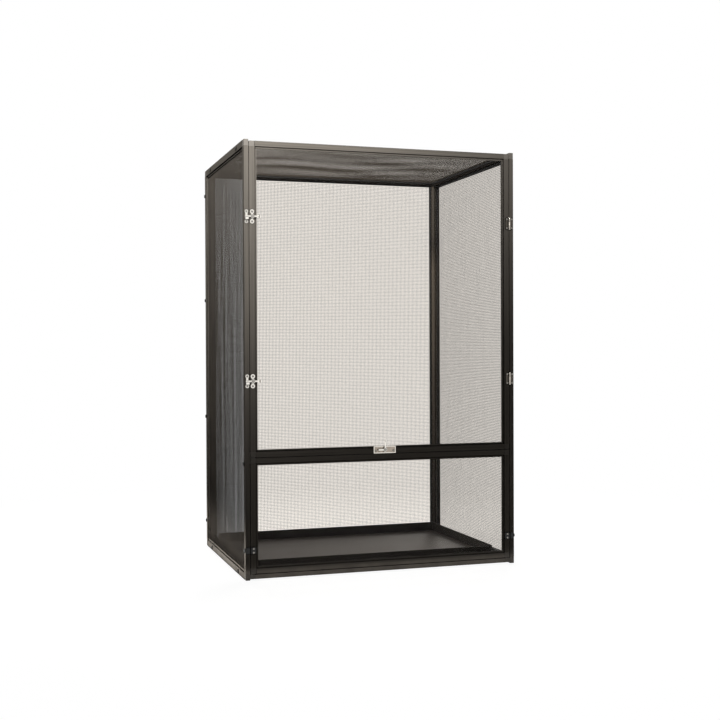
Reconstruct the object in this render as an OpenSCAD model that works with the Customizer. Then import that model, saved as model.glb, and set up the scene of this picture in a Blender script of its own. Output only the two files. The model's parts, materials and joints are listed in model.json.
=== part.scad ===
// Mesh reptile cage: a screwed frame of hollow bar panels with mesh, two glazed front doors and a tray.
// Millimetres. +X right, +Y to the back, +Z up. The origin is under the middle of the cage.

/* [Cage] */
// Overall width across the side panels
cage_w = 600; // [400:10:900]
// Overall depth from the front face to the back face
cage_d = 450; // [300:10:700]
// Overall height of the side panels
cage_h = 900; // [700:10:1200]
// Room between one panel and the next
panel_room = 0.1; // [0.05:0.05:0.2]

/* [Bars] */
// Wall of the hollow bars
bar_wall = 1.2; // [0.8:0.1:1.6]
// Width of the thin lip along the inner edge of the bars
lip_w = 4.5; // [4:0.5:6]
// Thickness of the lip
lip_t = 1.2; // [0.8:0.1:1.6]
// Step from a bar's outer face back to its lip
lip_step = 2.5; // [1:0.1:2.5]
// Thickness of the side panels
side_t = 9.5; // [9:0.5:14]
// Height of the side panels' rails
side_rail_h = 18; // [16:1:26]
// Depth of the side panels' posts
side_post_d = 20; // [18:1:28]
// Thickness of the back panel
back_t = 9.5; // [9:0.5:14]
// Height of the back panel's rails
back_rail_h = 14; // [12:1:26]
// Width of the back panel's stiles
back_stile_w = 14; // [12:1:24]
// Thickness of the top panel
top_t = 9.5; // [9:0.5:14]
// Width of the top panel's bars
top_bar_w = 14; // [12:1:24]
// Drop of the top panel below the side panels' top edge
top_drop = 1.8; // [0:0.1:4]
// Thickness of the base panel
base_t = 9.5; // [9:0.5:14]
// Width of the base panel's bars
base_bar_w = 14; // [12:1:24]
// Lift of the base panel above the floor
base_lift = 2.5; // [0:0.1:2.5]

/* [Corner keys] */
// Length of the tongue inside the long bar
tongue_len = 24; // [18:1:26]
// Length of the stub inside the short bar
stub_len = 20; // [12:1:22]
// Clearance between a key and its bars
key_fit = 0.15; // [0.05:0.05:0.3]

/* [Mesh] */
// Thickness of a mesh wire
wire_t = 0.8; // [0.4:0.1:1]
// Gap between the two layers of wires
layer_gap = 0.05; // [0.02:0.01:0.1]
// Spacing that the wires keep as nearly as they can
wire_pitch = 40; // [40:1:60]
// Room between the wire ends and the bars
net_room = 0.5; // [0.2:0.1:1]
// Width of the rubber spline that holds the mesh
spline_w = 3.5; // [2:0.5:4]
// Thickness of the spline
spline_t = 3; // [2:0.5:4]
// Thickness of the solid sheet in the base panel
sheet_t = 1.2; // [0.8:0.1:2]

/* [Doors] */
// Thickness of the door frames
door_t = 10; // [9:0.5:10]
// Width of the door frames' members
door_bar_w = 15.9; // [15:0.1:24]
// Gap beside and above the doors
door_gap = 1.2; // [1:0.1:2]
// Gap under each door
under_gap = 0.8; // [0.6:0.1:1.5]
// Height of the lower door
lower_door_h = 237.3; // [190:0.1:270]
// Thickness of the clear panes
pane_t = 2; // [1.5:0.1:3]
// Room between a pane's edge and its bars
pane_room = 0.5; // [0.2:0.1:1]
// Width of the glazing bead
bead_w = 3.5; // [2:0.5:4]
// Thickness of the glazing bead
bead_t = 4; // [3:0.5:4.5]

/* [Hinges] */
// Height of the lower hinge's middle above the upper door's bottom edge
hinge_up = 155; // [60:1:180]
// Drop of the upper hinge's middle below the upper door's top edge
hinge_down = 152.5; // [60:0.5:180]
// Height of a hinge
hinge_h = 25; // [20:1:40]
// Reach of a hinge leaf from the hinge axis
leaf_w = 8.5; // [7.5:0.1:9]
// Thickness of a hinge leaf
leaf_t = 1.2; // [0.8:0.1:1.6]
// Diameter of the knuckles
knuckle_d = 4.4; // [4:0.1:6]
// Diameter of the hinge pin
hinge_pin_d = 2; // [1.5:0.1:2.5]
// Diameter of the hinge pin's heads
hinge_head_d = 3.6; // [3:0.1:4.4]
// Thickness of the hinge pin's heads
hinge_head_t = 0.8; // [0.5:0.1:1.5]
// Gap between the knuckles and behind them
knuckle_gap = 0.3; // [0.2:0.05:0.5]

/* [Latches] */
// Height of the lower latch above the upper door's bottom edge
latch_up = 156; // [60:1:180]
// Drop of the upper latch below the upper door's top edge
latch_down = 154.5; // [60:0.5:180]
// Thickness of the keeper, latch and thumb latch plates
plate_t = 1.2; // [0.8:0.1:2]
// Width of the keeper plate's lobes on the post
keeper_w = 7.5; // [6:0.5:9]
// Height of the keeper plate
keeper_h = 28; // [24:1:40]
// Width of the keeper plate between its lobes
keeper_neck = 4.5; // [3:0.5:6]
// Width of the catch that holds a latch lever
catch_w = 6.5; // [5:0.5:8]
// Width of the latch plate's lobes on the stile
latch_plate_w = 9; // [8:0.5:11]
// Height of the latch plate
latch_plate_h = 29; // [25:1:40]
// Width of the latch plate between its lobes
latch_neck = 5; // [4:0.5:7]
// Height of the boss that carries a lever
boss_h = 2.8; // [2:0.1:4]
// Diameter of the boss
boss_d = 6; // [5:0.5:8]
// Play of a lever between its boss and its rivet head
lever_play = 0.1; // [0.05:0.05:0.2]
// Thickness of a lever
lever_t = 1.6; // [1:0.1:2]
// Height of a lever's arm
lever_h = 3.2; // [3:0.1:5]
// Diameter of a lever's eye
eye_d = 8; // [7:0.5:9]
// Reach of a latch lever's hook from its pivot
lever_reach = 15.5; // [14:0.5:16]
// Reach of a latch lever's thumb end from its pivot
lever_tail = 16; // [14:0.5:20]
// Height of a latch lever's thumb end
thumb_h = 7; // [5:0.5:9]
// Forward curl of a lever's thumb end
thumb_curl = 3; // [1:0.5:4]
// Turn that drops a latch lever into its keeper
latch_close_deg = 12; // [8:1:12]
// Room between a latch lever and its keeper
catch_room = 0.4; // [0.3:0.1:0.6]
// Room between the keeper's lip and the lever in front of the post
lip_room = 1.2; // [0.6:0.1:2]
// Diameter of the lever rivets
rivet_d = 3; // [2.5:0.1:3.5]
// Diameter of the rivet heads
rivet_head_d = 5.5; // [4.5:0.1:7]
// Thickness of the rivet heads
rivet_head_t = 1.2; // [0.8:0.1:2]

/* [Thumb latch] */
// Sideways place of the thumb latch on the upper door
thumb_latch_x = 0; // [-150:1:150]
// Width of the thumb latch plate
thumb_plate_w = 49; // [44:1:70]
// Height of the thumb latch plate
thumb_plate_h = 15; // [12:0.5:15.5]
// Width of the raised rim round the thumb latch plate's two panels
rim_w = 1.8; // [1:0.1:3]
// Depth of those panels below the rim
rim_step = 0.4; // [0.2:0.1:0.6]
// Rise of the thumb arm above its pivot
thumb_rise = 21; // [16:0.5:26]
// Room between the thumb latch's screw heads and its plate's ends
thumb_screw_edge = 3; // [1:0.5:5]
// Reach of the locking lobe from the pivot
lobe_reach = 15.5; // [14:0.5:16]
// Length of the foot under the lobe's end
foot_len = 3.5; // [2:0.5:4]
// Room between the foot and the plate
foot_room = 0.4; // [0.3:0.1:0.6]

/* [Lower door pivots] */
// Height of the pivot above the lower door's bottom edge
pivot_up = 48.2; // [47:0.1:56]
// Diameter of the pivot screws
pivot_d = 4; // [3:0.5:4.5]
// Diameter of the pivot screw heads
pivot_head_d = 8; // [6:0.5:9]
// Thickness of the pivot screw heads
pivot_head_t = 2.3; // [1.5:0.1:3]
// Depth of the pivot screw in the bush
pivot_grip = 7; // [4:0.5:7.5]
// Height of the plastic bush in the stile
bush_h = 16; // [14:1:18]
// Height of the black pivot plates
pivot_plate_h = 13; // [13:0.5:20]
// Width of the pivot plate on the post
post_plate_w = 8; // [6:0.5:9]
// Width of the pivot plate on the door
door_plate_w = 10.5; // [9:0.5:11]
// Thickness of the pivot plates
pivot_plate_t = 1.5; // [1:0.1:2]
// Room between the pivot and the plates' screws
pivot_screw_room = 1; // [0.5:0.1:2]

/* [Door stops] */
// Drop of the door stop's screw below the lower door's top edge
stop_screw_drop = 12.5; // [8:0.5:20]
// Width of a door stop
stop_w = 9; // [6:0.5:12]
// Thickness of a door stop
stop_t = 4; // [4:0.5:5]
// Height of a door stop
stop_h = 40; // [36:1:50]
// Height of the screw above the stop's lower end
stop_screw_up = 10; // [6:1:14]
// Room between the doors and their stops
stop_room = 0.3; // [0.2:0.1:0.5]

/* [Screws] */
// Diameter of the assembly and stop screws
screw_d = 4; // [3:0.5:4]
// Diameter of their heads
screw_head_d = 7.5; // [6:0.5:9]
// Thickness of their heads
screw_head_t = 2.4; // [1.5:0.1:3]
// Length of their threads past the side panel
screw_grip = 5; // [3:0.5:6]
// Diameter of the small screws in plates and hinges
small_d = 2; // [1.5:0.1:2]
// Diameter of the small heads
small_head_d = 3.6; // [3:0.1:4]
// Thickness of the small heads
small_head_t = 1; // [0.6:0.1:1.4]
// Length of the small threads behind their plates
small_grip = 5; // [3:0.5:5]
// Room between a small head and its plate's edge
screw_edge = 1; // [0.5:0.1:1.5]
// Radial clearance of screws in their holes and of pins in their bores
run_fit = 0.05; // [0.01:0.01:0.1]
// Width of the cross slot in the heads
slot_w = 0.8; // [0.4:0.1:1]
// Distance of the rail screws from the panel's front and back
rail_screw_inset = 75; // [60:1:120]
// Distance of the outer post screws from the back panel's ends
post_screw_inset = 58.5; // [45:0.5:80]
// Distance of the inner post screws from the back panel's middle
post_screw_mid = 139; // [90:1:180]

/* [Tray] */
// Height of the tray
tray_h = 23; // [18:1:40]
// Wall of the tray
tray_wall = 2; // [1.5:0.1:3]
// Room between the tray and the swing of the lower door's bottom edge
swing_room = 5; // [2:0.5:40]
// Room between the tray and the base panel's splines
tray_room = 0.5; // [0.3:0.1:2]
// Radius of the tray's corners
tray_r = 8; // [4:0.5:15]

/* [Hidden] */
$fn = 48;
cut = 1;
front_y = -cage_d / 2;
back_y = cage_d / 2;
opening_x = cage_w / 2 - side_t;
base_top = base_lift + base_t;
top_face = cage_h - top_drop;
door_w = 2 * (opening_x - door_gap);
lower_door_z = base_top + under_gap;
upper_door_z = lower_door_z + lower_door_h + under_gap;
upper_door_h = top_face - door_gap - upper_door_z;
stop_y = front_y + door_t + stop_room;
behind_y = back_y - back_t - panel_room;
inner_w = 2 * (opening_x - panel_room);

// A panel is [length of its long bars, size across them, long bar width, short bar width, thickness]
side_panel = [cage_d, cage_h, side_rail_h, side_post_d, side_t];
back_panel = [inner_w, top_face - base_lift, back_rail_h, back_stile_w, back_t];
top_panel = [behind_y - stop_y, inner_w, top_bar_w, top_bar_w, top_t];
base_panel = [behind_y - front_y, inner_w, base_bar_w, base_bar_w, base_t];
upper_door = [upper_door_h, door_w, door_bar_w, door_bar_w, door_t];
lower_door = [lower_door_h, door_w, door_bar_w, door_bar_w, door_t];

function run(p) = p[0];
function across(p) = p[1];
function long_box(p) = p[2] - lip_w;
function short_box(p) = p[3] - lip_w;
function short_w(p) = p[3];
function thick(p) = p[4];

lip_back = lip_step + lip_t;
net_t = 2 * wire_t + layer_gap;
door_box = door_bar_w - lip_w;
stile_x = -door_w / 2 + door_box / 2;
post_x = -opening_x - side_t / 2;
hinge_x = opening_x - door_gap / 2;
hinge_y = front_y - knuckle_d / 2 - knuckle_gap;
upper_door_top = upper_door_z + upper_door_h;
head_inset = small_head_d / 2 + screw_edge;
hinge_screw_x = leaf_w - head_inset;
hinge_screw_z = hinge_h / 2 - head_inset;
hinge_zs = [upper_door_z + hinge_up, upper_door_top - hinge_down];
latch_lower_z = upper_door_z + latch_up;
latch_upper_z = upper_door_top - latch_down;
latch_zs = [latch_lower_z, latch_upper_z];
keeper_screw_z = (keeper_h - keeper_w) / 2;
latch_screw_z = (latch_plate_h - latch_plate_w) / 2;
lever_y = front_y - plate_t - boss_h - lever_play;
thumb_latch_z = upper_door_z + door_box / 2 + lip_w / 2;
thumb_screw_x = thumb_plate_w / 2 - small_head_d / 2 - thumb_screw_edge;
thumb_screw_z = upper_door_z + door_box / 2;
thumb_seat = plate_t - rim_step;
pivot_y = front_y + door_t / 2;
pivot_z = lower_door_z + pivot_up;
pivot_screw_z = pivot_d / 2 + small_d / 2 + pivot_screw_room;
stop_screw_z = lower_door_z + lower_door_h - stop_screw_drop;
base_sheet_top = base_lift + lip_back + sheet_t;

keeper_holes = [for (z = latch_zs, s = [-1, 1]) [post_x, z + s * keeper_screw_z]];
latch_holes = [for (z = latch_zs, s = [-1, 1]) [stile_x, z + s * latch_screw_z]];
frame_leaf_holes = [for (z = hinge_zs, s = [-1, 1]) [hinge_x + hinge_screw_x, z + s * hinge_screw_z]];
door_leaf_holes = [for (z = hinge_zs, s = [-1, 1]) [hinge_x - hinge_screw_x, z + s * hinge_screw_z]];
thumb_holes = [for (s = [-1, 1]) [thumb_latch_x + s * thumb_screw_x, thumb_screw_z]];
post_plate_holes = [for (s = [-1, 1]) [post_x, pivot_z + s * pivot_screw_z]];
door_plate_holes = [for (s = [-1, 1]) [stile_x, pivot_z + s * pivot_screw_z]];
lever_pivots = [for (z = latch_zs) [stile_x, z]];
thumb_pivot = [thumb_latch_x, thumb_latch_z];

knuckle_end = hinge_h / 6;
door_knuckles = [[-knuckle_end + knuckle_gap / 2, knuckle_end - knuckle_gap / 2]];
frame_knuckles = [[-hinge_h / 2, -knuckle_end - knuckle_gap / 2],
                  [knuckle_end + knuckle_gap / 2, hinge_h / 2]];
door_leaf_cuts = [[-hinge_h / 2 - cut, -knuckle_end + knuckle_gap / 2],
                  [knuckle_end - knuckle_gap / 2, hinge_h / 2 + cut]];
frame_leaf_cuts = [[-knuckle_end - knuckle_gap / 2, knuckle_end + knuckle_gap / 2]];
catch_z = -lever_h / 2 - catch_room;
shelf_z = -lever_h / 2 - lever_reach * sin(latch_close_deg) - catch_room;
keeper_out = front_y - lever_y + lever_t + lip_room + plate_t;

back_middle = (base_lift + top_face) / 2;
post_screw_zs = [base_lift + post_screw_inset, back_middle - post_screw_mid,
                 back_middle + post_screw_mid, top_face - post_screw_inset];
rail_screw_ys = [front_y + rail_screw_inset, back_y - rail_screw_inset];
low_screw_z = long_box(side_panel) / 2;
high_screw_z = cage_h - low_screw_z;
post_screws = [for (z = post_screw_zs) [back_y - back_t / 2, z]];
low_screws = [for (y = rail_screw_ys) [y, low_screw_z]];
high_screws = [for (y = rail_screw_ys) [y, high_screw_z]];
stop_screw = [[stop_y + stop_t / 2, stop_screw_z]];

frame_tone = [0.25, 0.24, 0.23];
mesh_tone = [0.16, 0.16, 0.15];
plastic_tone = [0.1, 0.1, 0.1];
rubber_tone = [0.06, 0.06, 0.06];
chrome_tone = [0.85, 0.85, 0.86];
clear_tone = [0.8, 0.86, 0.88, 0.3];

// Panels are drawn flat: long bars along X, short bars along Y, outer face at Z = 0.
module on_left() translate([-cage_w / 2, front_y, 0]) rotate([90, 0, 90]) children();
module on_right() mirror([1, 0, 0]) on_left() children();
module on_back() translate([-inner_w / 2, back_y, base_lift]) rotate([90, 0, 0]) children();
module on_top() translate([-inner_w / 2, stop_y, top_face]) rotate([180, 0, 90]) children();
module on_base() translate([inner_w / 2, front_y, base_lift]) rotate([0, 0, 90]) children();
module on_front(z) translate([-door_w / 2, front_y, z]) rotate([-90, 0, 0]) rotate([0, 0, -90]) children();
module far_long(p) translate([0, across(p), 0]) mirror([0, 1, 0]) children();
module far_short(p) translate([run(p), 0, 0]) mirror([1, 0, 0]) children();

// A shape on the front face at [x, z], with its own Z pointing to the front
module at_front(point, y = front_y) translate([point[0], y, point[1]]) rotate([90, 0, 0]) children();

// A shape on the outside of the left panel at [y, z], with its own Z pointing to the left
module at_left(point) translate([-cage_w / 2, point[0], point[1]]) rotate([0, -90, 0]) children();

module both_sides() {
  children();
  mirror([1, 0, 0]) children();
}

module hole(d, deep, out = cut) translate([0, 0, -deep]) cylinder(d = d + 2 * run_fit, h = deep + out);

module front_holes(points, d) {
  for (point = points) at_front(point) hole(d, small_grip + cut);
}

module plate_holes(points, t) {
  for (point = points) at_front(point) hole(small_d, cut, t + cut);
}

module left_holes(points, d, deep) {
  for (point = points) at_left(point) hole(d, deep);
}

// A pan head screw with a cross slot, seated at Z = 0 with its thread below
module pan_screw(d, grip, head_d, head_t) {
  translate([0, 0, -grip]) cylinder(d = d, h = grip + head_t / 4);
  difference() {
    cylinder(d = head_d, h = head_t);
    for (turn = [0, 90]) {
      rotate(turn) translate([-head_d / 3, -slot_w / 2, head_t / 2]) cube([2 * head_d / 3, slot_w, head_t]);
    }
  }
}

module small_screws(points, seat) {
  for (point = points) {
    at_front(point, front_y - seat) pan_screw(small_d, small_grip + seat, small_head_d, small_head_t);
  }
}

module side_screws(points) {
  for (point = points) at_left(point) pan_screw(screw_d, side_t + screw_grip, screw_head_d, screw_head_t);
}

// Hollow box along X
module tube(length, w, t) {
  difference() {
    cube([length, w, t]);
    translate([-cut, bar_wall, bar_wall]) cube([length + 2 * cut, w - 2 * bar_wall, t - 2 * bar_wall]);
  }
}

// Long bar of a panel: a hollow box between the corner keys, with a lip along its inner edge
module long_bar(p) {
  translate([short_box(p), 0, 0]) tube(run(p) - 2 * short_box(p), long_box(p), thick(p));
  translate([short_w(p), long_box(p), lip_step]) cube([run(p) - 2 * short_w(p), lip_w, lip_t]);
}

// Short bar of a panel: the same between the other two sides of the keys
module short_bar(p) {
  length = across(p) - 2 * long_box(p);
  translate([short_box(p), long_box(p), 0]) rotate(90) tube(length, short_box(p), thick(p));
  translate([short_box(p), long_box(p), lip_step]) cube([lip_w, length, lip_t]);
}

// Corner key: a block that joins two bars, with a tongue inside the long bar and a stub inside the short bar
module corner_key(p) {
  inset = bar_wall + key_fit;
  key_t = thick(p) - 2 * inset;
  cube([short_box(p), long_box(p), thick(p)]);
  translate([inset, inset, inset]) {
    cube([short_box(p) - inset + tongue_len, long_box(p) - 2 * inset, key_t]);
    cube([short_box(p) - 2 * inset, long_box(p) - inset + stub_len, key_t]);
  }
}

module corner_keys(p) {
  corner_key(p);
  far_short(p) corner_key(p);
  far_long(p) {
    corner_key(p);
    far_short(p) corner_key(p);
  }
}

// Net of straight wires in two layers, held under the lips
module net(p) {
  x0 = short_box(p) + net_room;
  y0 = long_box(p) + net_room;
  w = run(p) - 2 * x0;
  h = across(p) - 2 * y0;
  columns = round(w / wire_pitch);
  rows = round(h / wire_pitch);
  translate([x0, y0, lip_back]) {
    for (i = [0 : columns]) translate([i * (w - wire_t) / columns, 0, 0]) cube([wire_t, h, wire_t]);
    translate([0, 0, wire_t + layer_gap]) {
      for (i = [0 : rows]) translate([0, i * (h - wire_t) / rows, 0]) cube([w, wire_t, wire_t]);
    }
  }
}

// Sheet held under the lips
module filling(p, room, t) {
  translate([short_box(p) + room, long_box(p) + room, lip_back])
    cube([run(p) - 2 * (short_box(p) + room), across(p) - 2 * (long_box(p) + room), t]);
}

// Four strips round the opening that press a filling of thickness t against the lips
module strips(p, t, strip_w, strip_t) {
  x0 = short_box(p);
  y0 = long_box(p);
  z0 = lip_back + t;
  w = run(p) - 2 * x0;
  h = across(p) - 2 * y0;
  side_h = h - 2 * strip_w;
  for (y = [y0, y0 + h - strip_w]) translate([x0, y, z0]) cube([w, strip_w, strip_t]);
  for (x = [x0, x0 + w - strip_w]) translate([x, y0 + strip_w, z0]) cube([strip_w, side_h, strip_t]);
}

// Side panels, drawn for the left and mirrored to the right
module side_top_rail() {
  difference() {
    on_left() far_long(side_panel) long_bar(side_panel);
    left_holes(high_screws, screw_d, side_t + cut);
  }
}

module side_bottom_rail() {
  difference() {
    on_left() long_bar(side_panel);
    left_holes(low_screws, screw_d, side_t + cut);
  }
}

module side_front_post() {
  difference() {
    on_left() short_bar(side_panel);
    left_holes([[pivot_y, pivot_z]], pivot_d, side_t + cut);
    left_holes(stop_screw, screw_d, side_t + cut);
    front_holes(post_plate_holes, small_d);
  }
}

module side_rear_post() {
  difference() {
    on_left() far_short(side_panel) short_bar(side_panel);
    left_holes(post_screws, screw_d, side_t + cut);
  }
}

module left_top_rail() color(frame_tone) side_top_rail();
module left_bottom_rail() color(frame_tone) side_bottom_rail();
module left_rear_post() color(frame_tone) side_rear_post();
module right_top_rail() color(frame_tone) mirror([1, 0, 0]) side_top_rail();
module right_bottom_rail() color(frame_tone) mirror([1, 0, 0]) side_bottom_rail();
module right_rear_post() color(frame_tone) mirror([1, 0, 0]) side_rear_post();

module left_front_post() color(frame_tone) {
  difference() {
    side_front_post();
    front_holes(keeper_holes, small_d);
  }
}

module right_front_post() color(frame_tone) {
  difference() {
    mirror([1, 0, 0]) side_front_post();
    front_holes(frame_leaf_holes, small_d);
  }
}

// Back panel
module back_bottom_rail() color(frame_tone) on_back() long_bar(back_panel);
module back_top_rail() color(frame_tone) on_back() far_long(back_panel) long_bar(back_panel);

module back_left_stile() color(frame_tone) {
  difference() {
    on_back() short_bar(back_panel);
    left_holes(post_screws, screw_d, side_t + screw_grip + cut);
  }
}

module back_right_stile() color(frame_tone) mirror([1, 0, 0]) back_left_stile();

// Top panel
module top_left_bar() color(frame_tone) {
  difference() {
    on_top() long_bar(top_panel);
    left_holes(high_screws, screw_d, side_t + screw_grip + cut);
  }
}

module top_right_bar() color(frame_tone) mirror([1, 0, 0]) top_left_bar();
module top_front_rail() color(frame_tone) on_top() short_bar(top_panel);
module top_rear_rail() color(frame_tone) on_top() far_short(top_panel) short_bar(top_panel);

// Base panel
module base_left_bar() color(frame_tone) {
  difference() {
    on_base() far_long(base_panel) long_bar(base_panel);
    left_holes(low_screws, screw_d, side_t + screw_grip + cut);
  }
}

module base_right_bar() color(frame_tone) mirror([1, 0, 0]) base_left_bar();
module base_front_rail() color(frame_tone) on_base() short_bar(base_panel);
module base_rear_rail() color(frame_tone) on_base() far_short(base_panel) short_bar(base_panel);
module base_sheet() color(plastic_tone) on_base() filling(base_panel, net_room, sheet_t);

// Mesh, splines and corner keys of the panels
module left_mesh() color(mesh_tone) on_left() net(side_panel);
module right_mesh() color(mesh_tone) on_right() net(side_panel);
module back_mesh() color(mesh_tone) on_back() net(back_panel);
module top_mesh() color(mesh_tone) on_top() net(top_panel);

module mesh_splines() color(rubber_tone) {
  both_sides() on_left() strips(side_panel, net_t, spline_w, spline_t);
  on_back() strips(back_panel, net_t, spline_w, spline_t);
  on_top() strips(top_panel, net_t, spline_w, spline_t);
  on_base() strips(base_panel, sheet_t, spline_w, spline_t);
}

module panel_corner_keys() color(plastic_tone) {
  both_sides() on_left() corner_keys(side_panel);
  on_back() corner_keys(back_panel);
  on_top() corner_keys(top_panel);
  on_base() corner_keys(base_panel);
}

// Tray
module rounded_block(w, d, h, r) {
  translate([r, 0, 0]) cube([w - 2 * r, d, h]);
  translate([0, r, 0]) cube([w, d - 2 * r, h]);
  for (x = [r, w - r], y = [r, d - r]) translate([x, y, 0]) cylinder(r = r, h = h);
}

module substrate_tray() color(plastic_tone) {
  edge = short_box(base_panel) + spline_w + tray_room;
  setback = door_t / 2 + norm([pivot_up, door_t / 2]) + swing_room;
  w = inner_w - 2 * edge;
  d = run(base_panel) - setback - edge;
  translate([-w / 2, front_y + setback, base_sheet_top]) {
    difference() {
      rounded_block(w, d, tray_h, tray_r);
      translate([tray_wall, tray_wall, tray_wall])
        rounded_block(w - 2 * tray_wall, d - 2 * tray_wall, tray_h, tray_r - tray_wall);
    }
  }
}

// Upper door frame
module upper_stile() on_front(upper_door_z) long_bar(upper_door);

module upper_door_left_stile() color(frame_tone) {
  difference() {
    upper_stile();
    front_holes(latch_holes, small_d);
    front_holes(lever_pivots, rivet_d);
  }
}

module upper_door_right_stile() color(frame_tone) {
  difference() {
    mirror([1, 0, 0]) upper_stile();
    front_holes(door_leaf_holes, small_d);
  }
}

module upper_door_bottom_rail() color(frame_tone) {
  difference() {
    on_front(upper_door_z) short_bar(upper_door);
    front_holes(thumb_holes, small_d);
    front_holes([thumb_pivot], rivet_d);
  }
}

module upper_door_top_rail() color(frame_tone) {
  on_front(upper_door_z) far_short(upper_door) short_bar(upper_door);
}

module upper_door_corner_keys() color(plastic_tone) on_front(upper_door_z) corner_keys(upper_door);
module upper_pane() color(clear_tone) on_front(upper_door_z) filling(upper_door, pane_room, pane_t);

module upper_pane_beads() color(rubber_tone) {
  on_front(upper_door_z) strips(upper_door, pane_t, bead_w, bead_t);
}

// Lower door frame
module lower_stile() {
  difference() {
    on_front(lower_door_z) long_bar(lower_door);
    left_holes([[pivot_y, pivot_z]], pivot_d, side_t + door_gap + bar_wall + cut);
    front_holes(door_plate_holes, small_d);
  }
}

module lower_door_left_stile() color(frame_tone) lower_stile();
module lower_door_right_stile() color(frame_tone) mirror([1, 0, 0]) lower_stile();
module lower_door_bottom_rail() color(frame_tone) on_front(lower_door_z) short_bar(lower_door);

module lower_door_top_rail() color(frame_tone) {
  on_front(lower_door_z) far_short(lower_door) short_bar(lower_door);
}

module lower_door_corner_keys() color(plastic_tone) on_front(lower_door_z) corner_keys(lower_door);
module lower_pane() color(clear_tone) on_front(lower_door_z) filling(lower_door, pane_room, pane_t);

module lower_pane_beads() color(rubber_tone) {
  on_front(lower_door_z) strips(lower_door, pane_t, bead_w, bead_t);
}

// Hinges: each leaf is drawn round its own axis, with the middle third of the knuckle on the door leaf
module knuckle(z0, z1, d) translate([0, 0, z0]) cylinder(d = d, h = z1 - z0);

module leaf(x, own, cuts) {
  difference() {
    union() {
      translate([hinge_x + x, front_y - leaf_t, -hinge_h / 2])
        cube([leaf_w - knuckle_gap / 2, leaf_t, hinge_h]);
      translate([hinge_x, hinge_y, 0]) {
        for (k = own) knuckle(k[0], k[1], knuckle_d);
      }
    }
    translate([hinge_x, hinge_y, 0]) {
      for (k = cuts) knuckle(k[0], k[1], knuckle_d + 2 * knuckle_gap);
      knuckle(-hinge_h, hinge_h, hinge_pin_d + 2 * run_fit);
    }
  }
}

module hinge_frame_leaves() color(chrome_tone) {
  difference() {
    for (z = hinge_zs) translate([0, 0, z]) leaf(knuckle_gap / 2, frame_knuckles, frame_leaf_cuts);
    plate_holes(frame_leaf_holes, leaf_t);
  }
}

module hinge_door_leaves() color(chrome_tone) {
  difference() {
    for (z = hinge_zs) translate([0, 0, z]) leaf(-leaf_w, door_knuckles, door_leaf_cuts);
    plate_holes(door_leaf_holes, leaf_t);
  }
}

module hinge_pins() color(chrome_tone) {
  for (z = hinge_zs) translate([hinge_x, hinge_y, z]) {
    knuckle(-hinge_h / 2, hinge_h / 2, hinge_pin_d);
    for (s = [0, 1]) mirror([0, 0, s]) knuckle(hinge_h / 2, hinge_h / 2 + hinge_head_t, hinge_head_d);
  }
}

// Plate with a lobe at each end for its screw and a narrower neck between them
module lobed_plate(w, h, neck) {
  linear_extrude(plate_t) {
    for (s = [-1, 1]) translate([0, s * (h - w) / 2]) circle(d = w);
    translate([-neck / 2, -(h - w) / 2]) square([neck, h - w]);
  }
}

// Lever latches: the lever drops behind the lip of its keeper
module latch_keepers() color(chrome_tone) {
  difference() {
    for (z = latch_zs) {
      at_front([post_x, z]) lobed_plate(keeper_w, keeper_h, keeper_neck);
      translate([post_x - catch_w / 2, front_y - keeper_out, z + shelf_z - plate_t]) {
        cube([catch_w, keeper_out, plate_t]);
        cube([catch_w, plate_t, catch_z - shelf_z + plate_t]);
      }
    }
    plate_holes(keeper_holes, plate_t);
  }
}

// Boss that carries a lever, standing on its plate
module boss() cylinder(d = boss_d, h = plate_t + boss_h);
module boss_bore() hole(rivet_d, cut, plate_t + boss_h + cut);

module latch_plates() color(chrome_tone) {
  difference() {
    for (point = lever_pivots) at_front(point) difference() {
      union() {
        lobed_plate(latch_plate_w, latch_plate_h, latch_neck);
        boss();
      }
      boss_bore();
    }
    plate_holes(latch_holes, plate_t);
  }
}

module thumb_latch_plate() color(chrome_tone) {
  panel_w = (thumb_plate_w - 3 * rim_w) / 2;
  panel_h = thumb_plate_h - 2 * rim_w;
  difference() {
    at_front(thumb_pivot) difference() {
      union() {
        difference() {
          translate([-thumb_plate_w / 2, -thumb_plate_h / 2, 0]) cube([thumb_plate_w, thumb_plate_h, plate_t]);
          for (x = [-rim_w / 2 - panel_w, rim_w / 2]) {
            translate([x, -panel_h / 2, thumb_seat]) cube([panel_w, panel_h, plate_t]);
          }
        }
        boss();
      }
      boss_bore();
    }
    plate_holes(thumb_holes, plate_t);
  }
}

module rivet(point) {
  seat = plate_t + boss_h + lever_t + 2 * lever_play;
  at_front(point) {
    translate([0, 0, -small_grip]) cylinder(d = rivet_d, h = small_grip + seat);
    translate([0, 0, seat]) cylinder(d = rivet_head_d, h = rivet_head_t);
  }
}

module lever_eye() circle(d = eye_d);
module lever_bore() hole(rivet_d, cut, lever_t + cut);

// Latch lever: a hook end to the left, an eye and a thumb end to the right that curls forward
module latch_lever() {
  difference() {
    union() {
      linear_extrude(lever_t) {
        lever_eye();
        translate([-lever_reach + lever_h / 2, 0]) circle(d = lever_h);
        translate([-lever_reach + lever_h / 2, -lever_h / 2])
          square([lever_reach + lever_tail - lever_h / 2 - thumb_h, lever_h]);
        translate([lever_tail - thumb_h, -thumb_h / 2]) square([thumb_h, thumb_h]);
      }
      translate([lever_tail - lever_t, -thumb_h / 2, 0]) cube([lever_t, thumb_h, lever_t + thumb_curl]);
    }
    lever_bore();
  }
}

module upper_latch_lever() color(chrome_tone) at_front([stile_x, latch_upper_z], lever_y) latch_lever();
module lower_latch_lever() color(chrome_tone) at_front([stile_x, latch_lower_z], lever_y) latch_lever();

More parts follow.
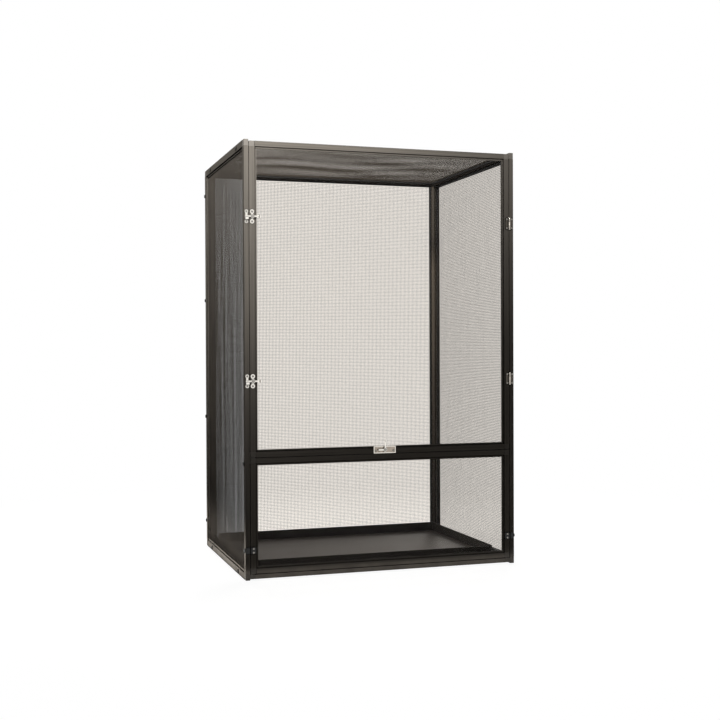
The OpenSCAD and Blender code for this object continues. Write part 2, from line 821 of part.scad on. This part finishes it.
// Thumb latch lever: a thumb arm that stands up and a lobe with a foot that swings down over the lower door
module thumb_latch_lever() color(chrome_tone) {
  foot_h = boss_h + lever_play - foot_room;
  at_front(thumb_pivot, lever_y) difference() {
    union() {
      linear_extrude(lever_t) {
        lever_eye();
        translate([-lever_h / 2, 0]) square([lever_h, thumb_rise]);
        translate([-lobe_reach + lever_h / 2, 0]) circle(d = lever_h);
        translate([-lobe_reach + lever_h / 2, -lever_h / 2]) square([lobe_reach - lever_h / 2, lever_h]);
      }
      translate([-lever_h / 2, thumb_rise - lever_t, 0]) cube([lever_h, lever_t, lever_t + thumb_curl]);
      translate([-lobe_reach + lever_h / 2, -lever_h / 2, -foot_h]) cube([foot_len, lever_h, foot_h]);
    }
    lever_bore();
  }
}

// Lower door pivots
module pivot_plate(x, w, holes) {
  difference() {
    at_front([x, pivot_z]) translate([-w / 2, -pivot_plate_h / 2, 0])
      cube([w, pivot_plate_h, pivot_plate_t]);
    plate_holes(holes, pivot_plate_t);
  }
}

module post_pivot_plates() color(plastic_tone) {
  both_sides() pivot_plate(post_x, post_plate_w, post_plate_holes);
}

module door_pivot_plates() color(plastic_tone) {
  both_sides() pivot_plate(stile_x, door_plate_w, door_plate_holes);
}

module pivot_screws() color(plastic_tone) both_sides() {
  at_left([pivot_y, pivot_z])
    pan_screw(pivot_d, side_t + door_gap + bar_wall + pivot_grip, pivot_head_d, pivot_head_t);
  small_screws(post_plate_holes, pivot_plate_t);
}

module pivot_bushes() color(plastic_tone) both_sides() {
  inset = bar_wall + key_fit;
  difference() {
    translate([-door_w / 2 + inset, front_y + inset, pivot_z - bush_h / 2])
      cube([door_box - 2 * inset, door_t - 2 * inset, bush_h]);
    left_holes([[pivot_y, pivot_z]], pivot_d, side_t + door_gap + door_box);
    front_holes(door_plate_holes, small_d);
  }
}

// Door stops behind the doors, screwed through the posts
module door_stops() color(plastic_tone) both_sides() {
  difference() {
    translate([-opening_x, stop_y, stop_screw_z - stop_screw_up]) cube([stop_w, stop_t, stop_h]);
    left_holes(stop_screw, screw_d, side_t + screw_grip);
  }
}

// Screws
module assembly_screws() color(plastic_tone) both_sides() {
  side_screws(concat(post_screws, low_screws, high_screws, stop_screw));
}

module post_hardware_screws() color(chrome_tone) {
  small_screws(keeper_holes, plate_t);
  small_screws(frame_leaf_holes, leaf_t);
}

module upper_door_fasteners() color(chrome_tone) {
  small_screws(latch_holes, plate_t);
  small_screws(door_leaf_holes, leaf_t);
  small_screws(thumb_holes, thumb_seat);
  for (point = concat(lever_pivots, [thumb_pivot])) rivet(point);
}

module lower_door_screws() color(plastic_tone) both_sides() small_screws(door_plate_holes, pivot_plate_t);

left_top_rail();
left_bottom_rail();
left_front_post();
left_rear_post();
right_top_rail();
right_bottom_rail();
right_front_post();
right_rear_post();
back_top_rail();
back_bottom_rail();
back_left_stile();
back_right_stile();
top_left_bar();
top_right_bar();
top_front_rail();
top_rear_rail();
base_left_bar();
base_right_bar();
base_front_rail();
base_rear_rail();
left_mesh();
right_mesh();
back_mesh();
top_mesh();
panel_corner_keys();
mesh_splines();
base_sheet();
substrate_tray();
hinge_frame_leaves();
hinge_pins();
latch_keepers();
post_pivot_plates();
pivot_screws();
door_stops();
assembly_screws();
post_hardware_screws();
upper_door_left_stile();
upper_door_right_stile();
upper_door_top_rail();
upper_door_bottom_rail();
upper_door_corner_keys();
upper_pane();
upper_pane_beads();
hinge_door_leaves();
latch_plates();
thumb_latch_plate();
upper_door_fasteners();
upper_latch_lever();
lower_latch_lever();
thumb_latch_lever();
lower_door_left_stile();
lower_door_right_stile();
lower_door_top_rail();
lower_door_bottom_rail();
lower_door_corner_keys();
lower_pane();
lower_pane_beads();
door_pivot_plates();
pivot_bushes();
lower_door_screws();
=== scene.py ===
"""Looks of a tall mesh reptile cage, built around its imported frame."""

import json
import math

import bpy
from mathutils import Matrix, Vector


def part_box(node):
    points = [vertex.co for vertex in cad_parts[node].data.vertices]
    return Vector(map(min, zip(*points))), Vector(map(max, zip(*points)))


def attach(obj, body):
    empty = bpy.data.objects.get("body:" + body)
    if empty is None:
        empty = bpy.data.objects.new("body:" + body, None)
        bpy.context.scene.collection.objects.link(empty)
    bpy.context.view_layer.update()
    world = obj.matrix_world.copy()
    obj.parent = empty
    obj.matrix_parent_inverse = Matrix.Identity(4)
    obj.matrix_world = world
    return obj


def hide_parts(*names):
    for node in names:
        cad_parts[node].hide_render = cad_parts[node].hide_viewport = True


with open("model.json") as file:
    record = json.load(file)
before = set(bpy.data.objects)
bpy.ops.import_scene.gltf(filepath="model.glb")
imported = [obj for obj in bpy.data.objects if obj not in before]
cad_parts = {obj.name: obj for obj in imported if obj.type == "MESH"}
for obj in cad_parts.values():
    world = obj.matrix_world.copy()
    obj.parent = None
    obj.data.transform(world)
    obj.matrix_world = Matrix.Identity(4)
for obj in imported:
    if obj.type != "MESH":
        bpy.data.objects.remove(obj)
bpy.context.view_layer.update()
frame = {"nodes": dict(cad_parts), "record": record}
SLOT_OF = {part["node"]: part["material_slot"] for part in frame["record"]["subparts"]}
MM = 0.001

# Camera, in metres and degrees
IMAGE_PX = 720
FOCAL_PX = 1136
SENSOR_MM = 36
CAMERA_AT = (-0.782, -2.497, 0.472)
CAMERA_YAW = 17.77
CAMERA_PITCH = -0.56
CAMERA_ROLL = -0.23

# Wires of the fly screens, with the corner radius as a share of the thickness
SCREEN_PITCH = 3.6 * MM
SCREEN_STEP = 12 * MM
SIDE_WIRE = 0.56 * MM
TOP_WIRE = 0.48 * MM
WIRE_CORNER = 0.56

# Slack of the screens: height of their ripples, two waves in radians across, and rise in the middle
SIDE_RIPPLE = 0.1 * MM
SIDE_WAVES = (34.0, 57.0)
TOP_RIPPLE = 0.35 * MM
TOP_WAVES = (15.0, 26.0)
TOP_CROWN = 0.9 * MM
FIRST_BEND = 2.3
FIRST_BEND_RATE = 5.0
SECOND_SHARE = 0.6
SECOND_SLANT = 4.0
SECOND_BEND = 1.5
SECOND_BEND_RATE = 9.0

# Rounding of edges, after thin seams are welded and flat faces joined
BAR_EDGE = 0.45 * MM
PLATE_EDGE = 0.2 * MM
MOULD_EDGE = 0.4 * MM
CORNER_EDGE = 0.7 * MM
SCREW_EDGE = 0.06 * MM
EDGE_STEPS = 2
SHARP_ANGLE = math.radians(35)
WELD_REACH = 0.002 * MM
FLAT_ANGLE = math.radians(1)

# Noise patterns, with scales in patches to the metre
EVEN = (1, 1, 1)
LINES_ACROSS = 700.0
LINES_ALONG = 5.0
DIE_LINES = {"scale": 1.0, "detail": 4.0, "roughness": 0.6}
BAR_CLOUDS = {"scale": 22.0, "detail": 4.0, "roughness": 0.55}
MOULD_CLOUDS = {"scale": 18.0, "detail": 4.0, "roughness": 0.5}
MOULD_GRAIN = {"detail": 2.0, "roughness": 0.5}
POLISH_HAZE = {"scale": 160.0, "detail": 5.0, "roughness": 0.6}
NOISE_LOW = 0.25
NOISE_HIGH = 0.75

# Darkest and lightest gain on a tone, and the pattern values at which they are reached
BAR_CONTRAST = (0.8, 1.25)
FLOOR_SHEEN_CONTRAST = (1.25, 1.7)
MOULD_CONTRAST = (0.85, 1.2)
POLISH_CONTRAST = (0.92, 1.0)
LOW_CONTRAST = (0.8, 1.0)
PROUD_CONTRAST = (0.9, 1.0)
PATTERN_ENDS = (0.3, 0.7)
FLOOR_SHEEN_ENDS = (0.3, 0.6)
HAZE_ENDS = (0.35, 0.65)

# Swing of roughness, down and up, and bump, as strength and distance
BAR_SWING = (0.05, 0.07)
MOULD_SWING = (0.06, 0.06)
METAL_SWING = (0.04, 0.08)
BAR_BUMP = (0.12, 0.06 * MM)
METAL_BUMP = (0.08, 0.08 * MM)
GRAIN_BUMP = 0.25

# Painted reflection of the floor on the lowest band of the bars: lighter and mottled up to the first
# height, fading out by the second
FLOOR_SHEEN_LOW = 17 * MM
FLOOR_SHEEN_HIGH = 23 * MM

# Painted shade in grooves and corners: an occlusion node darkens the colour where other surfaces are near
CREVICE_SHADE_REACH = 4 * MM
CREVICE_SHADE_SAMPLES = 6
CREVICE_SHADE_ENDS = (0.66, 0.88)
BAR_CREVICE_SHADE = 0.12
METAL_CREVICE_SHADE = 0.25

# Painted highlights on hinge knuckles, lighter down to this depth, and on thumb plate rims, lighter above
# this height
KNUCKLE_DEPTH = 3 * MM
KNUCKLE_SOFT = 0.3 * MM
RIM_RISE = 1 * MM
RIM_SOFT = 0.05 * MM

# Satin bars
BAR_METALLIC = 0.06
BAR_SPECULAR = 0.0
BAR_TONE = (0.117, 0.105, 0.090)
BAR_ROUGHNESS = 0.48
# Painted shade: the rounded edges of the bars are far darker than their faces, so seams and gaps between
# bars read dark
SHADED_EDGE_TONE = (0.030, 0.027, 0.023)
EDGE_ROUGHNESS = 0.42

# Plated metal
CHROME_TONE = (0.88, 0.84, 0.77)
CHROME_ROUGHNESS = 0.18
# Painted highlight: the rounded edges of chrome parts are lighter than their faces
CHROME_HIGHLIGHT_TONE = (0.95, 0.92, 0.86)
CHROME_EDGE_ROUGHNESS = 0.12
STEEL_TONE = (0.34, 0.32, 0.29)
STEEL_ROUGHNESS = 0.28
PLATE_TONE = (0.42, 0.36, 0.30)
RIM_HIGHLIGHT_TONE = (0.84, 0.79, 0.71)
PLATE_ROUGHNESS = 0.26
LEAF_TONE = (0.085, 0.074, 0.062)
KNUCKLE_HIGHLIGHT_TONE = (0.46, 0.42, 0.37)
HINGE_ROUGHNESS = 0.24

# Moulded and painted finishes, with grain in specks to the metre and its depth
CORNER_TONE = (0.158, 0.144, 0.127)
RUBBER_TONE = (0.014, 0.014, 0.014)
BLACK_TONE = (0.016, 0.016, 0.016)
BOARD_TONE = (0.05, 0.045, 0.04)
TRAY_TONE = (0.045, 0.04, 0.036)
MESH_TONE = (0.040, 0.034, 0.028)
BRONZE_TONE = (0.018, 0.016, 0.014)
MOULDED = {
    "corner_plastic": dict(tone=CORNER_TONE, roughness=0.5, grain=2600, depth=0.04 * MM, specular=0.05),
    "spline_rubber": dict(tone=RUBBER_TONE, roughness=0.62, grain=1800, depth=0.06 * MM, specular=0.35),
    "black_metal": dict(tone=BLACK_TONE, roughness=0.36, grain=3000, depth=0.02 * MM, specular=0.35),
    "base_board": dict(tone=BOARD_TONE, roughness=0.55, grain=1200, depth=0.1 * MM, specular=0.35),
    "tray_plastic": dict(tone=TRAY_TONE, roughness=0.5, grain=1500, depth=0.08 * MM, specular=0.08),
    "fly_mesh": dict(tone=MESH_TONE, roughness=0.5, grain=4000, depth=0.02 * MM, specular=0.03),
    "screw_bronze": dict(tone=BRONZE_TONE, roughness=0.34, grain=3000, depth=0.02 * MM, specular=0.05),
}

# Clear panes: tint, and the share of reflection from head on to grazing
PANE_TINT = (0.985, 0.960, 0.928, 1)
PANE_ROUGHNESS = 0.03
PANE_BLEND = 0.1
PANE_FACING = 0.02
PANE_HEAD_ON = 0.004
PANE_GRAZING = 0.9

# Floor, which fades to white away from the cage, and world
FLOOR_SIZE = 30.0
FLOOR_DROP = 0.2 * MM
FLOOR_NEAR = 0.5
FLOOR_FAR = 1.4
FLOOR_GLOW = 0.93
FLOOR_SHADE = 0.2
FLOOR_BOUNCE = (0.3, 0.29, 0.28, 1)
WHITE = (1, 1, 1, 1)
WORLD_LIGHT = 0.06
WORLD_SHOWN = 1.0


def add_object(name, data):
    made = bpy.data.objects.new(name, data)
    bpy.context.scene.collection.objects.link(made)
    return made


# Node trees

def new_material(name):
    material = bpy.data.materials.new(name)
    material.use_nodes = True
    tree = material.node_tree
    tree.nodes.clear()
    output = tree.nodes.new("ShaderNodeOutputMaterial")
    return material, tree, output


def principled(tree, output, metallic=0.0, specular=0.5):
    shader = tree.nodes.new("ShaderNodeBsdfPrincipled")
    shader.inputs["Metallic"].default_value = metallic
    shader.inputs["Specular IOR Level"].default_value = specular
    tree.links.new(shader.outputs["BSDF"], output.inputs["Surface"])
    return shader


def mix_shaders(tree, output, factor, first, second):
    mix = tree.nodes.new("ShaderNodeMixShader")
    tree.links.new(factor, mix.inputs["Fac"])
    tree.links.new(first, mix.inputs[1])
    tree.links.new(second, mix.inputs[2])
    tree.links.new(mix.outputs["Shader"], output.inputs["Surface"])


def coordinates(tree, scale):
    place = tree.nodes.new("ShaderNodeTexCoord")
    mapping = tree.nodes.new("ShaderNodeMapping")
    mapping.inputs["Scale"].default_value = scale
    tree.links.new(place.outputs["Object"], mapping.inputs["Vector"])
    return mapping.outputs["Vector"]


def noise(tree, vector, scale, detail, roughness):
    made = tree.nodes.new("ShaderNodeTexNoise")
    made.inputs["Scale"].default_value = scale
    made.inputs["Detail"].default_value = detail
    made.inputs["Roughness"].default_value = roughness
    tree.links.new(vector, made.inputs["Vector"])
    return made.outputs["Fac"]


def ramp(tree, factor, ends, low, high):
    """Colour that runs from low to high while factor runs between two ends."""
    made = tree.nodes.new("ShaderNodeValToRGB")
    for element, position, colour in zip(made.color_ramp.elements, ends, (low, high)):
        element.position = position
        element.color = (*colour, 1.0)
    tree.links.new(factor, made.inputs["Fac"])
    return made.outputs["Color"]


def mottled(tree, pattern, ends, tone, contrast):
    """Tone that a pattern makes darker and lighter."""
    dark, light = [[channel * gain for channel in tone] for gain in contrast]
    return ramp(tree, pattern, ends, dark, light)


def map_range(tree, value, start, end, low, high):
    made = tree.nodes.new("ShaderNodeMapRange")
    made.inputs["From Min"].default_value = start
    made.inputs["From Max"].default_value = end
    made.inputs["To Min"].default_value = low
    made.inputs["To Max"].default_value = high
    tree.links.new(value, made.inputs["Value"])
    return made


def smooth_range(tree, value, start, end, low, high):
    made = map_range(tree, value, start, end, low, high)
    made.interpolation_type = "SMOOTHSTEP"
    return made.outputs["Result"]


def between(tree, axis, start, end):
    """Value that runs from 0 at start to 1 at end along an axis of the part."""
    place = tree.nodes.new("ShaderNodeTexCoord")
    split = tree.nodes.new("ShaderNodeSeparateXYZ")
    tree.links.new(place.outputs["Object"], split.inputs["Vector"])
    return smooth_range(tree, split.outputs[axis], start, end, 0.0, 1.0)


def blend_colours(tree, factor, first, second):
    made = tree.nodes.new("ShaderNodeMix")
    made.data_type = "RGBA"
    tree.links.new(factor, made.inputs["Factor"])
    tree.links.new(first, made.inputs["A"])
    tree.links.new(second, made.inputs["B"])
    return made.outputs["Result"]


def crevice_shade(tree, colour, shade):
    """Painted shade: darkens a colour in grooves and inner corners, where other surfaces are near."""
    near = tree.nodes.new("ShaderNodeAmbientOcclusion")
    near.samples = CREVICE_SHADE_SAMPLES
    near.inputs["Distance"].default_value = CREVICE_SHADE_REACH
    made = tree.nodes.new("ShaderNodeMix")
    made.data_type = "RGBA"
    made.blend_type = "MULTIPLY"
    made.inputs["Factor"].default_value = 1.0
    tree.links.new(colour, made.inputs["A"])
    darkening = ramp(tree, near.outputs["AO"], CREVICE_SHADE_ENDS, [shade] * 3, [1.0] * 3)
    tree.links.new(darkening, made.inputs["B"])
    return made.outputs["Result"]


def uneven_roughness(tree, shader, pattern, roughness, swing):
    less, more = swing
    made = map_range(tree, pattern, NOISE_LOW, NOISE_HIGH, roughness - less, roughness + more)
    tree.links.new(made.outputs["Result"], shader.inputs["Roughness"])


def bump(tree, shader, height, strength, distance):
    made = tree.nodes.new("ShaderNodeBump")
    made.inputs["Strength"].default_value = strength
    made.inputs["Distance"].default_value = distance
    tree.links.new(height, made.inputs["Height"])
    tree.links.new(made.outputs["Normal"], shader.inputs["Normal"])


# Materials

def anodised(name, axis, tone, roughness):
    """Dark satin bar with die lines along its length, a painted reflection of the floor on its lowest
    band, and painted shade in its grooves.
    """
    material, tree, output = new_material(name)
    shader = principled(tree, output, BAR_METALLIC, BAR_SPECULAR)
    stretch = [LINES_ACROSS] * 3
    stretch[axis] = LINES_ALONG
    lines = noise(tree, coordinates(tree, stretch), **DIE_LINES)
    clouds = noise(tree, coordinates(tree, EVEN), **BAR_CLOUDS)
    clean = mottled(tree, lines, PATTERN_ENDS, tone, BAR_CONTRAST)
    # painted reflection of the floor: the lowest band is lighter and mottled
    sheened = mottled(tree, clouds, FLOOR_SHEEN_ENDS, tone, FLOOR_SHEEN_CONTRAST)
    lowest = between(tree, "Z", FLOOR_SHEEN_HIGH, FLOOR_SHEEN_LOW)
    # painted shade in grooves and corners
    colour = crevice_shade(tree, blend_colours(tree, lowest, clean, sheened), BAR_CREVICE_SHADE)
    tree.links.new(colour, shader.inputs["Base Color"])
    uneven_roughness(tree, shader, clouds, roughness, BAR_SWING)
    bump(tree, shader, lines, *BAR_BUMP)
    return material


def moulded(name, tone, roughness, grain, depth, specular):
    """Plastic, rubber or paint with a fine grain."""
    material, tree, output = new_material(name)
    shader = principled(tree, output, specular=specular)
    place = coordinates(tree, EVEN)
    fine = noise(tree, place, grain, **MOULD_GRAIN)
    clouds = noise(tree, place, **MOULD_CLOUDS)
    colour = mottled(tree, clouds, PATTERN_ENDS, tone, MOULD_CONTRAST)
    tree.links.new(colour, shader.inputs["Base Color"])
    uneven_roughness(tree, shader, clouds, roughness, MOULD_SWING)
    bump(tree, shader, fine, GRAIN_BUMP, depth)
    return material


def plated(name, roughness):
    """Metal with faint polishing haze, still without its colour."""
    material, tree, output = new_material(name)
    shader = principled(tree, output, metallic=1.0)
    haze = noise(tree, coordinates(tree, EVEN), **POLISH_HAZE)
    uneven_roughness(tree, shader, haze, roughness, METAL_SWING)
    bump(tree, shader, haze, *METAL_BUMP)
    return material, tree, shader, haze


def polished(name, tone, roughness):
    """Plated metal of one tone, with painted shade in its grooves and corners."""
    material, tree, shader, haze = plated(name, roughness)
    colour = mottled(tree, haze, HAZE_ENDS, tone, POLISH_CONTRAST)
    tree.links.new(crevice_shade(tree, colour, METAL_CREVICE_SHADE), shader.inputs["Base Color"])
    return material


def metal_with_painted_highlight(name, low_tone, highlight_tone, roughness, plane, soft):
    """Plated metal whose parts in front of a plane are painted lighter as a highlight, with painted shade
    in its grooves and corners.
    """
    material, tree, shader, haze = plated(name, roughness)
    low = mottled(tree, haze, PATTERN_ENDS, low_tone, LOW_CONTRAST)
    highlight = mottled(tree, haze, PATTERN_ENDS, highlight_tone, PROUD_CONTRAST)
    level = between(tree, "Y", plane + soft, plane - soft)
    colour = blend_colours(tree, level, low, highlight)
    tree.links.new(crevice_shade(tree, colour, METAL_CREVICE_SHADE), shader.inputs["Base Color"])
    return material


def clear_acrylic(name):
    """Clear sheet: what is behind it shows, under a reflection that grows towards grazing."""
    material, tree, output = new_material(name)
    through = tree.nodes.new("ShaderNodeBsdfTransparent")
    through.inputs["Color"].default_value = PANE_TINT
    gloss = tree.nodes.new("ShaderNodeBsdfGlossy")
    gloss.inputs["Roughness"].default_value = PANE_ROUGHNESS
    edge = tree.nodes.new("ShaderNodeLayerWeight")
    edge.inputs["Blend"].default_value = PANE_BLEND
    share = map_range(tree, edge.outputs["Facing"], PANE_FACING, 1.0, PANE_HEAD_ON, PANE_GRAZING)
    mix_shaders(tree, output, share.outputs["Result"], through.outputs["BSDF"], gloss.outputs["BSDF"])
    return material


ANODISED = []
for index, axis in enumerate("xyz"):
    ANODISED.append(anodised(f"anodised_{axis}", index, BAR_TONE, BAR_ROUGHNESS))
# Painted shade on the rounded edges of the bars
ANODISED_SHADED_EDGE = anodised("anodised_shaded_edge", 2, SHADED_EDGE_TONE, EDGE_ROUGHNESS)
# Painted highlight on the rounded edges of chrome parts
CHROME_HIGHLIGHT_EDGE = polished("chrome_highlight_edge", CHROME_HIGHLIGHT_TONE, CHROME_EDGE_ROUGHNESS)
SCREW_STEEL = polished("screw_steel", STEEL_TONE, STEEL_ROUGHNESS)
# Painted highlight on the raised rims of the thumb plate and on the hinge knuckles
RIM_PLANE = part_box("thumb_latch_plate")[1].y - RIM_RISE
THUMB_METAL = metal_with_painted_highlight("thumb_metal", PLATE_TONE, RIM_HIGHLIGHT_TONE, PLATE_ROUGHNESS, RIM_PLANE, RIM_SOFT)
KNUCKLE_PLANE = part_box("hinge_door_leaves")[0].y + KNUCKLE_DEPTH
HINGE_METAL = metal_with_painted_highlight(
    "hinge_metal", LEAF_TONE, KNUCKLE_HIGHLIGHT_TONE, HINGE_ROUGHNESS, KNUCKLE_PLANE, KNUCKLE_SOFT
)
MATERIALS = {name: moulded(name, **finish) for name, finish in MOULDED.items()}
MATERIALS["chrome"] = polished("chrome", CHROME_TONE, CHROME_ROUGHNESS)
MATERIALS["clear_acrylic"] = clear_acrylic("clear_acrylic")
OWN_FINISH = {
    "assembly_screws": MATERIALS["screw_bronze"],
    "lower_door_screws": SCREW_STEEL,
    "post_hardware_screws": SCREW_STEEL,
    "upper_door_fasteners": SCREW_STEEL,
    "thumb_latch_plate": THUMB_METAL,
    "hinge_frame_leaves": HINGE_METAL,
    "hinge_door_leaves": HINGE_METAL,
}


# CAD nodes

def soften(node, width, edge_slot=-1):
    """Rounds a node's edges, with a material slot of their own where one is given."""
    weld = node.modifiers.new("weld", "WELD")
    weld.merge_threshold = WELD_REACH
    flat = node.modifiers.new("flat", "DECIMATE")
    flat.decimate_type = "DISSOLVE"
    flat.angle_limit = FLAT_ANGLE
    bevel = node.modifiers.new("round", "BEVEL")
    bevel.width = width
    bevel.segments = EDGE_STEPS
    bevel.limit_method = "ANGLE"
    bevel.angle_limit = SHARP_ANGLE
    bevel.material = edge_slot
    node.modifiers.new("normals", "WEIGHTED_NORMAL")


def long_axis(node):
    low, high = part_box(node)
    size = high - low
    return max(range(3), key=lambda index: size[index])


def dress(node, slot):
    thing = frame["nodes"][node]
    thing.data.materials.clear()
    if slot == "frame_aluminium":
        thing.data.materials.append(ANODISED[long_axis(node)])
        thing.data.materials.append(ANODISED_SHADED_EDGE)
        # the rounded edges take the material with painted shade
        soften(thing, BAR_EDGE, 1)
        return
    thing.data.materials.append(OWN_FINISH.get(node, MATERIALS[slot]))
    if node.endswith(("_screws", "_fasteners")):
        soften(thing, SCREW_EDGE)
    elif node in OWN_FINISH or slot == "black_metal":
        soften(thing, PLATE_EDGE)
    elif slot == "chrome":
        thing.data.materials.append(CHROME_HIGHLIGHT_EDGE)
        soften(thing, PLATE_EDGE, 1)
    elif node.endswith("_corner_keys"):
        soften(thing, CORNER_EDGE)
    elif slot != "clear_acrylic":
        soften(thing, MOULD_EDGE)


SCREENS = [node for node, slot in SLOT_OF.items() if slot == "fly_mesh"]
for node, slot in SLOT_OF.items():
    if node not in SCREENS:
        dress(node, slot)


# Fly screens

def wire(points, across, out, radius):
    """Vertices and faces of a four sided wire along points."""
    corners = []
    for point in points:
        corners += [point + across * radius, point + out * radius]
        corners += [point - across * radius, point - out * radius]
    faces = [(3, 2, 1, 0)]
    last = 4 * (len(points) - 1)
    for ring in range(0, last, 4):
        for side in range(4):
            turn = (side + 1) % 4
            faces.append((ring + side, ring + turn, ring + 4 + turn, ring + 4 + side))
    faces.append((last, last + 1, last + 2, last + 3))
    return corners, faces


def unit(axis):
    return Vector([float(index == axis) for index in range(3)])


def hold(u, v):
    """Share of the slack that the rim leaves free, from 0 at the rim to 1 in the middle."""
    free = math.sin(math.pi * u) * math.sin(math.pi * v)
    return math.sqrt(max(free, 0.0))


def ripples(across, along, waves):
    """Two bent waves that run across a screen."""
    first = math.sin(waves[0] * across + FIRST_BEND * math.sin(FIRST_BEND_RATE * along))
    bend = SECOND_BEND * math.sin(SECOND_BEND_RATE * along)
    second = math.sin(waves[1] * across + SECOND_SLANT * along + bend)
    return first + SECOND_SHARE * second


def side_slack(u, v):
    """Height of a side or back screen off its plane, at shares u and v of its two sides."""
    held = hold(u, v)
    return SIDE_RIPPLE * held * ripples(u, v, SIDE_WAVES)


def top_slack(u, v):
    """Height of the top screen off its plane, at shares u and v of its two sides."""
    held = hold(u, v)
    return TOP_RIPPLE * held * ripples(v, u, TOP_WAVES) + TOP_CROWN * held * held


def fly_screen(node, thick, slack):
    """Net of two crossing layers of wires in place of a coarse net."""
    low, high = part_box(node)
    size = high - low
    thin = min(range(3), key=lambda index: size[index])
    flat = [index for index in range(3) if index != thin]
    middle = (low + high) / 2
    vertices, faces = [], []
    for run, step, layer in ((flat[0], flat[1], 1), (flat[1], flat[0], -1)):
        along = unit(run)
        across = unit(step)
        count = round(size[step] / SCREEN_PITCH)
        parts = round(size[run] / SCREEN_STEP)
        for index in range(count + 1):
            aside = (index / count) * (size[step] - thick) + thick / 2
            points = []
            for part in range(parts + 1):
                ahead = part / parts
                share = [0.0, 0.0]
                share[flat.index(run)] = ahead
                share[flat.index(step)] = index / count
                point = low + along * (ahead * size[run]) + across * aside
                point[thin] = middle[thin] + layer * thick / 2 + slack(*share)
                points.append(point)
            corners, sides = wire(points, across, unit(thin), thick * WIRE_CORNER)
            start = len(vertices)
            vertices += corners
            faces += [tuple(start + corner for corner in side) for side in sides]
    mesh = bpy.data.meshes.new(f"{node}_screen")
    mesh.from_pydata(vertices, [], faces)
    mesh.update()
    mesh.shade_smooth()
    mesh.materials.append(MATERIALS["fly_mesh"])
    screen = add_object(f"{node}_screen", mesh)
    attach(screen, "frame")
    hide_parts(node)


for node in SCREENS:
    if node == "top_mesh":
        fly_screen(node, TOP_WIRE, top_slack)
    else:
        fly_screen(node, SIDE_WIRE, side_slack)


# Stage

def shown_rays(tree):
    """Value that is 1 for the camera and for what gloss and glass show."""
    path = tree.nodes.new("ShaderNodeLightPath")
    total = path.outputs["Is Camera Ray"]
    for name in ("Is Glossy Ray", "Is Transmission Ray"):
        either = tree.nodes.new("ShaderNodeMath")
        either.operation = "MAXIMUM"
        tree.links.new(total, either.inputs[0])
        tree.links.new(path.outputs[name], either.inputs[1])
        total = either.outputs["Value"]
    return total


def fade_out(tree, near, far):
    """Value that runs from near beside the cage to far away from it."""
    place = tree.nodes.new("ShaderNodeTexCoord")
    away = tree.nodes.new("ShaderNodeVectorMath")
    away.operation = "LENGTH"
    tree.links.new(place.outputs["Object"], away.inputs[0])
    return smooth_range(tree, away.outputs["Value"], FLOOR_NEAR, FLOOR_FAR, near, far)


def floor():
    bpy.ops.mesh.primitive_plane_add(size=FLOOR_SIZE, location=(0, 0, -FLOOR_DROP))
    plane = bpy.context.object
    plane.name = "floor"
    material, tree, output = new_material("floor")
    glow = tree.nodes.new("ShaderNodeEmission")
    tree.links.new(fade_out(tree, FLOOR_GLOW, 1.0), glow.inputs["Strength"])
    shaded = tree.nodes.new("ShaderNodeBsdfDiffuse")
    tree.links.new(fade_out(tree, FLOOR_SHADE, 0.0), shaded.inputs["Color"])
    shown = tree.nodes.new("ShaderNodeAddShader")
    tree.links.new(glow.outputs["Emission"], shown.inputs[0])
    tree.links.new(shaded.outputs["BSDF"], shown.inputs[1])
    matt = tree.nodes.new("ShaderNodeBsdfDiffuse")
    matt.inputs["Color"].default_value = FLOOR_BOUNCE
    mix_shaders(tree, output, shown_rays(tree), matt.outputs["BSDF"], shown.outputs["Shader"])
    plane.data.materials.append(material)


def backdrop():
    world = bpy.data.worlds.new("studio")
    bpy.context.scene.world = world
    world.use_nodes = True
    tree = world.node_tree
    tree.nodes.clear()
    output = tree.nodes.new("ShaderNodeOutputWorld")
    shades = []
    for strength in (WORLD_LIGHT, WORLD_SHOWN):
        shade = tree.nodes.new("ShaderNodeBackground")
        shade.inputs["Color"].default_value = WHITE
        shade.inputs["Strength"].default_value = strength
        shades.append(shade.outputs["Background"])
    mix_shaders(tree, output, shown_rays(tree), *shades)


def softbox(name, at, aim, size, watts, angle):
    data = bpy.data.lights.new(name, "AREA")
    data.shape = "RECTANGLE"
    data.size, data.size_y = size
    data.energy = watts
    data.spread = math.radians(angle)
    lamp = add_object(name, data)
    lamp.location = at
    lamp.rotation_euler = (Vector(aim) - Vector(at)).to_track_quat("-Z", "Y").to_euler()
    lamp.visible_camera = False


def photo_camera():
    data = bpy.data.cameras.new("camera")
    data.sensor_width = SENSOR_MM
    data.lens = FOCAL_PX / IMAGE_PX * SENSOR_MM
    camera = add_object("camera", data)
    turn = Matrix.Rotation(math.radians(-CAMERA_YAW), 4, "Z")
    tilt = Matrix.Rotation(math.radians(90 + CAMERA_PITCH), 4, "X")
    roll = Matrix.Rotation(math.radians(CAMERA_ROLL), 4, "Z")
    camera.matrix_world = Matrix.Translation(CAMERA_AT) @ turn @ tilt @ roll
    bpy.context.scene.camera = camera


photo_camera()
floor()
backdrop()
softbox("key", at=(-1.19, -3.11, 2.03), aim=(-0.8, -0.22, 1.95), size=(0.4, 0.4), watts=83, angle=59)
softbox(
    "front_foot", at=(0, -0.36, 0.012), aim=(0, -0.225, 0.009), size=(0.62, 0.008), watts=0.0115, angle=22
)
softbox("left_foot", at=(-0.5, 0, 0.03), aim=(-0.3, 0, 0.05), size=(0.46, 0.02), watts=0.28, angle=44)
softbox("behind", at=(1.9, 2.4, 1.5), aim=(0, 0, 0.45), size=(1.4, 1.4), watts=22, angle=120)
softbox("above", at=(0, 0.3, 2.6), aim=(0, 0.1, 0), size=(0.8, 0.5), watts=10, angle=90)
bpy.context.scene.view_settings.view_transform = "Standard"
